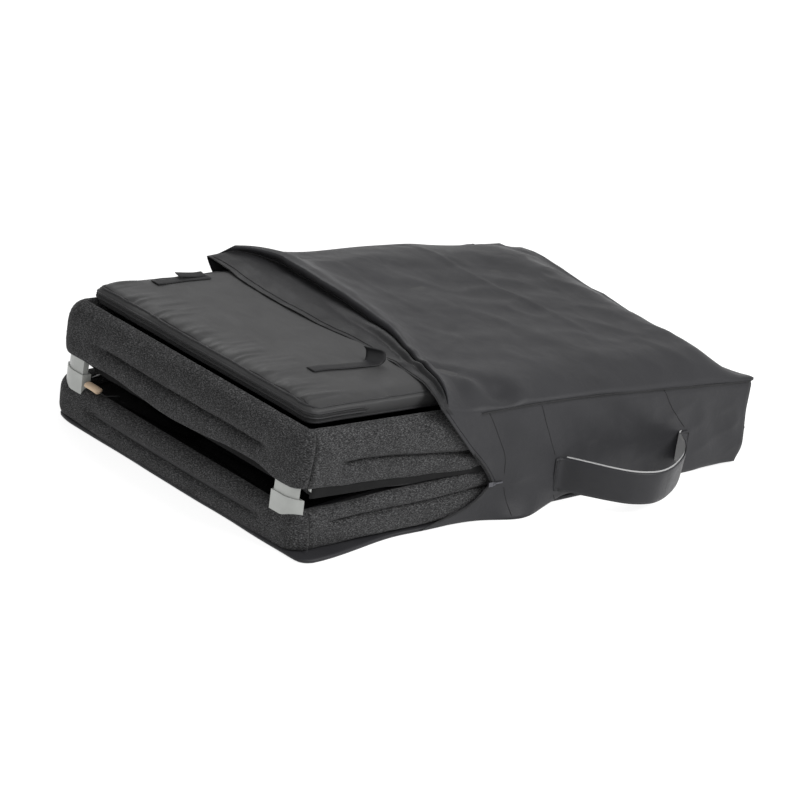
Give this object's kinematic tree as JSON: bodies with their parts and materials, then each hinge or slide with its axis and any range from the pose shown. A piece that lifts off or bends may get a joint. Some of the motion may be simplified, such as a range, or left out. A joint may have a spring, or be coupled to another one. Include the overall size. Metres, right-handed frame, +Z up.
{
  "type": "travel playpen",
  "caption": "Flat-folding travel playpen with padded rails, mesh walls, hinged corner legs and mattress, half inside its zip carry bag.",
  "frame": {"origin": "on the floor, on the centreline of the width, halfway along the packed length, on the underside of the bag", "axes": "+X towards the closed end of the bag, -Y towards the side with the carry handle, +Z up"},
  "size_m": [1, 0.7568, 0.2378],
  "materials": {
    "tube_metal": "satin",
    "bracket_plastic": "matte",
    "pin_metal": "satin",
    "band_fabric": "matte",
    "mesh_fabric": "matte",
    "base_fabric": "satin",
    "foot_rubber": "matte",
    "mattress_fabric": "satin",
    "strap_fabric": "matte",
    "bag_fabric": "satin",
    "handle_fabric": "satin",
    "zip_metal": "satin"
  },
  "bodies": {
    "base": {"floor_board": "base_fabric", "base_feet": "foot_rubber", "base_rail_front": "tube_metal", "base_rail_back": "tube_metal", "base_rail_left": "tube_metal", "base_rail_right": "tube_metal", "base_corner_fl": "bracket_plastic", "base_corner_bl": "bracket_plastic", "base_corner_fr": "bracket_plastic", "base_corner_br": "bracket_plastic", "base_pivot_pins": "pin_metal", "lower_pad_front": "band_fabric", "lower_pad_back": "band_fabric", "lower_pad_left": "band_fabric", "lower_pad_right": "band_fabric"},
    "leg_fl_lower": {"lower_leg_fl": "tube_metal", "knee_pin_fl": "pin_metal", "wall_left_lower": "mesh_fabric"},
    "leg_fl_upper": {"upper_leg_fl": "tube_metal", "wall_left_upper": "mesh_fabric"},
    "leg_bl_lower": {"lower_leg_bl": "tube_metal", "knee_pin_bl": "pin_metal"},
    "leg_bl_upper": {"upper_leg_bl": "tube_metal"},
    "leg_fr_lower": {"lower_leg_fr": "tube_metal", "knee_pin_fr": "pin_metal", "wall_right_lower": "mesh_fabric"},
    "leg_fr_upper": {"upper_leg_fr": "tube_metal", "wall_right_upper": "mesh_fabric"},
    "leg_br_lower": {"lower_leg_br": "tube_metal", "knee_pin_br": "pin_metal"},
    "leg_br_upper": {"upper_leg_br": "tube_metal"},
    "top_rail": {"top_rail_front": "tube_metal", "top_rail_back": "tube_metal", "top_rail_left": "tube_metal", "top_rail_right": "tube_metal", "top_corner_fl": "bracket_plastic", "top_corner_bl": "bracket_plastic", "top_corner_fr": "bracket_plastic", "top_corner_br": "bracket_plastic", "top_pivot_pins": "pin_metal", "upper_pad_front": "band_fabric", "upper_pad_back": "band_fabric", "upper_pad_left": "band_fabric", "upper_pad_right": "band_fabric"},
    "front_wall_lower": {"wall_front_lower": "mesh_fabric"},
    "front_wall_upper": {"wall_front_upper": "mesh_fabric"},
    "back_wall_lower": {"wall_back_lower": "mesh_fabric"},
    "back_wall_upper": {"wall_back_upper": "mesh_fabric"},
    "mattress": {"mattress_pad": "mattress_fabric", "mattress_straps": "strap_fabric"},
    "bag": {"bag_bottom": "bag_fabric", "bag_top": "bag_fabric", "bag_flap": "bag_fabric", "bag_side_front": "bag_fabric", "bag_side_back": "bag_fabric", "bag_end": "bag_fabric", "handle_patches": "handle_fabric", "zip_slider": "zip_metal"},
    "bag_handle": {"bag_handle": "handle_fabric"},
    "zip_pull": {"zip_pull": "zip_metal"}
  },
  "joints": [
    {"name": "unfold", "type": "hinge", "parent": "base", "child": "leg_fl_lower", "pos_m": [-0.466, -0.298, 0.055], "axis": [0, -1, 0], "range_deg": [0, 83.85], "deforming": ["wall_front_lower", "wall_front_upper", "wall_back_lower", "wall_back_upper", "wall_left_lower", "wall_left_upper", "wall_right_lower", "wall_right_upper"]},
    {"name": "knee_fl_turn", "type": "hinge", "parent": "leg_fl_lower", "child": "leg_fl_upper", "pos_m": [-0.18761, -0.311, 0.085], "axis": [0, 1, 0], "range_deg": [0, 167.72]},
    {"name": "lower_leg_bl_turn", "type": "hinge", "parent": "base", "child": "leg_bl_lower", "pos_m": [-0.466, 0.298, 0.055], "axis": [0, -1, 0], "range_deg": [0, 83.87]},
    {"name": "knee_bl_turn", "type": "hinge", "parent": "leg_bl_lower", "child": "leg_bl_upper", "pos_m": [-0.18761, 0.311, 0.085], "axis": [0, 1, 0], "range_deg": [0, 167.72]},
    {"name": "lower_leg_fr_turn", "type": "hinge", "parent": "base", "child": "leg_fr_lower", "pos_m": [0.406, -0.298, 0.055], "axis": [0, 1, 0], "range_deg": [0, 85.97]},
    {"name": "knee_fr_turn", "type": "hinge", "parent": "leg_fr_lower", "child": "leg_fr_upper", "pos_m": [0.12624, -0.311, 0.0665], "axis": [0, -1, 0], "range_deg": [0, 171.91]},
    {"name": "lower_leg_br_turn", "type": "hinge", "parent": "base", "child": "leg_br_lower", "pos_m": [0.406, 0.298, 0.055], "axis": [0, 1, 0], "range_deg": [0, 85.97]},
    {"name": "knee_br_turn", "type": "hinge", "parent": "leg_br_lower", "child": "leg_br_upper", "pos_m": [0.12624, 0.311, 0.0665], "axis": [0, -1, 0], "range_deg": [0, 171.91]},
    {"name": "top_rail_level", "type": "hinge", "parent": "leg_fl_upper", "child": "top_rail", "pos_m": [-0.466, -0.311, 0.115], "axis": [0, -1, 0], "range_deg": [0, 86.3]},
    {"name": "front_wall_turn", "type": "hinge", "parent": "base", "child": "front_wall_lower", "pos_m": [-0.03, -0.288, 0.055], "axis": [1, 0, 0], "range_deg": [0, 85.77]},
    {"name": "front_wall_fold", "type": "hinge", "parent": "front_wall_lower", "child": "front_wall_upper", "pos_m": [-0.03, -0.00877, 0.07575], "axis": [-1, 0, 0], "range_deg": [0, 171.52]},
    {"name": "back_wall_turn", "type": "hinge", "parent": "base", "child": "back_wall_lower", "pos_m": [-0.03, 0.288, 0.055], "axis": [-1, 0, 0], "range_deg": [0, 85.77]},
    {"name": "back_wall_fold", "type": "hinge", "parent": "back_wall_lower", "child": "back_wall_upper", "pos_m": [-0.03, 0.00877, 0.07575], "axis": [1, 0, 0], "range_deg": [0, 171.52]},
    {"name": "mattress_lower", "type": "hinge", "parent": "base", "child": "mattress", "pos_m": [3.87258, 0, 0.03243], "axis": [0, -1, 0], "range_deg": [0, 2.43]},
    {"name": "bag_off", "type": "slide", "parent": "base", "child": "bag", "axis": [1, 0, 0], "range_m": [0, 0.7805], "deforming": ["bag_top", "bag_flap"]},
    {"name": "handle_swing", "type": "hinge", "parent": "bag", "child": "bag_handle", "pos_m": [0.178, -0.3358, 0.053], "axis": [-1, 0, 0], "range_deg": [-12, 35]},
    {"name": "zip_pull_turn", "type": "hinge", "parent": "bag", "child": "zip_pull", "pos_m": [-0.087, -0.3358, 0.062], "axis": [0, 0, -1], "range_deg": [0, 110]}
  ],
  "couplings": [
    {"joint": "knee_fl_turn", "follows": "unfold", "ratio": 2},
    {"joint": "lower_leg_bl_turn", "follows": "unfold", "ratio": 1},
    {"joint": "knee_bl_turn", "follows": "unfold", "ratio": 2},
    {"joint": "lower_leg_fr_turn", "follows": "unfold", "ratio": 1.025},
    {"joint": "knee_fr_turn", "follows": "unfold", "ratio": 2.05},
    {"joint": "lower_leg_br_turn", "follows": "unfold", "ratio": 1.025},
    {"joint": "knee_br_turn", "follows": "unfold", "ratio": 2.05},
    {"joint": "top_rail_level", "follows": "unfold", "ratio": 1.029},
    {"joint": "front_wall_turn", "follows": "unfold", "ratio": 1.0227},
    {"joint": "front_wall_fold", "follows": "unfold", "ratio": 2.0453},
    {"joint": "back_wall_turn", "follows": "unfold", "ratio": 1.0227},
    {"joint": "back_wall_fold", "follows": "unfold", "ratio": 2.0453},
    {"joint": "mattress_lower", "follows": "unfold", "ratio": 0.028977},
    {"joint": "bag_off", "follows": "unfold", "m_per_rad": 0.53299}
  ]
}
